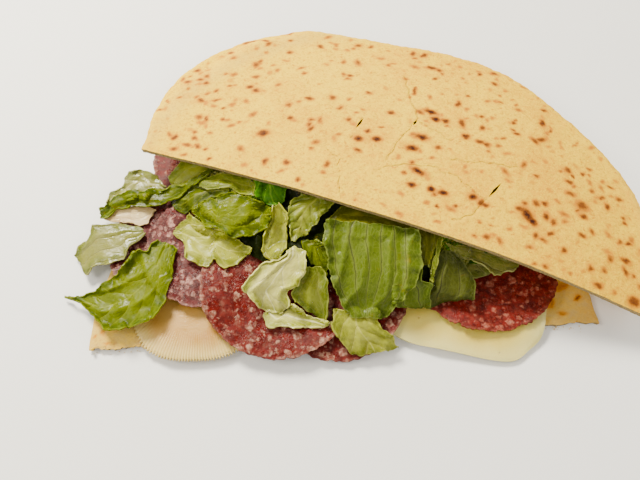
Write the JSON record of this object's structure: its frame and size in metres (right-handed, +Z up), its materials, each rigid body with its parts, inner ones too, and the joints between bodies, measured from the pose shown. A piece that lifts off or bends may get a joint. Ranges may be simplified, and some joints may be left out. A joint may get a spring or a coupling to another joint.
{
  "type": "piadina",
  "caption": "Flatbread sandwich cut in two: a flat lower half with cheese, salami slices and torn lettuce on it, and the upper half laid over them, turned and bent over the filling.",
  "frame": {"origin": "on the flat underside of the lower bread half, 60 mm behind the middle of its cut edge", "axes": "+X along the lower half's cut edge, to the right seen from the open side; +Y away from the open side; +Z up"},
  "size_m": [0.3346, 0.2321, 0.037],
  "materials": {
    "bread": "matte baked crust, pale with brown scorch spots",
    "cheese": "satin, slightly moist",
    "salami": "moist, marbled with fat",
    "lettuce": "wet leaf, veined",
    "pale_lettuce": "wet pale rib and leaf"
  },
  "bodies": {
    "root": {"bread_bottom": "bread", "bread_top": "bread", "cheese_left": "cheese", "cheese_right": "cheese", "salami_middle": "salami", "salami_back_left": "salami", "salami_left": "salami", "salami_right": "salami", "salami_front_right": "salami", "salami_front_left": "salami", "salami_front": "salami", "leaf_rib": "pale_lettuce", "leaf_frill": "pale_lettuce", "leaf_pale": "pale_lettuce", "leaf_strip": "lettuce", "leaf_front_left": "lettuce", "lettuce_heap": "lettuce"}
  },
  "joints": []
}
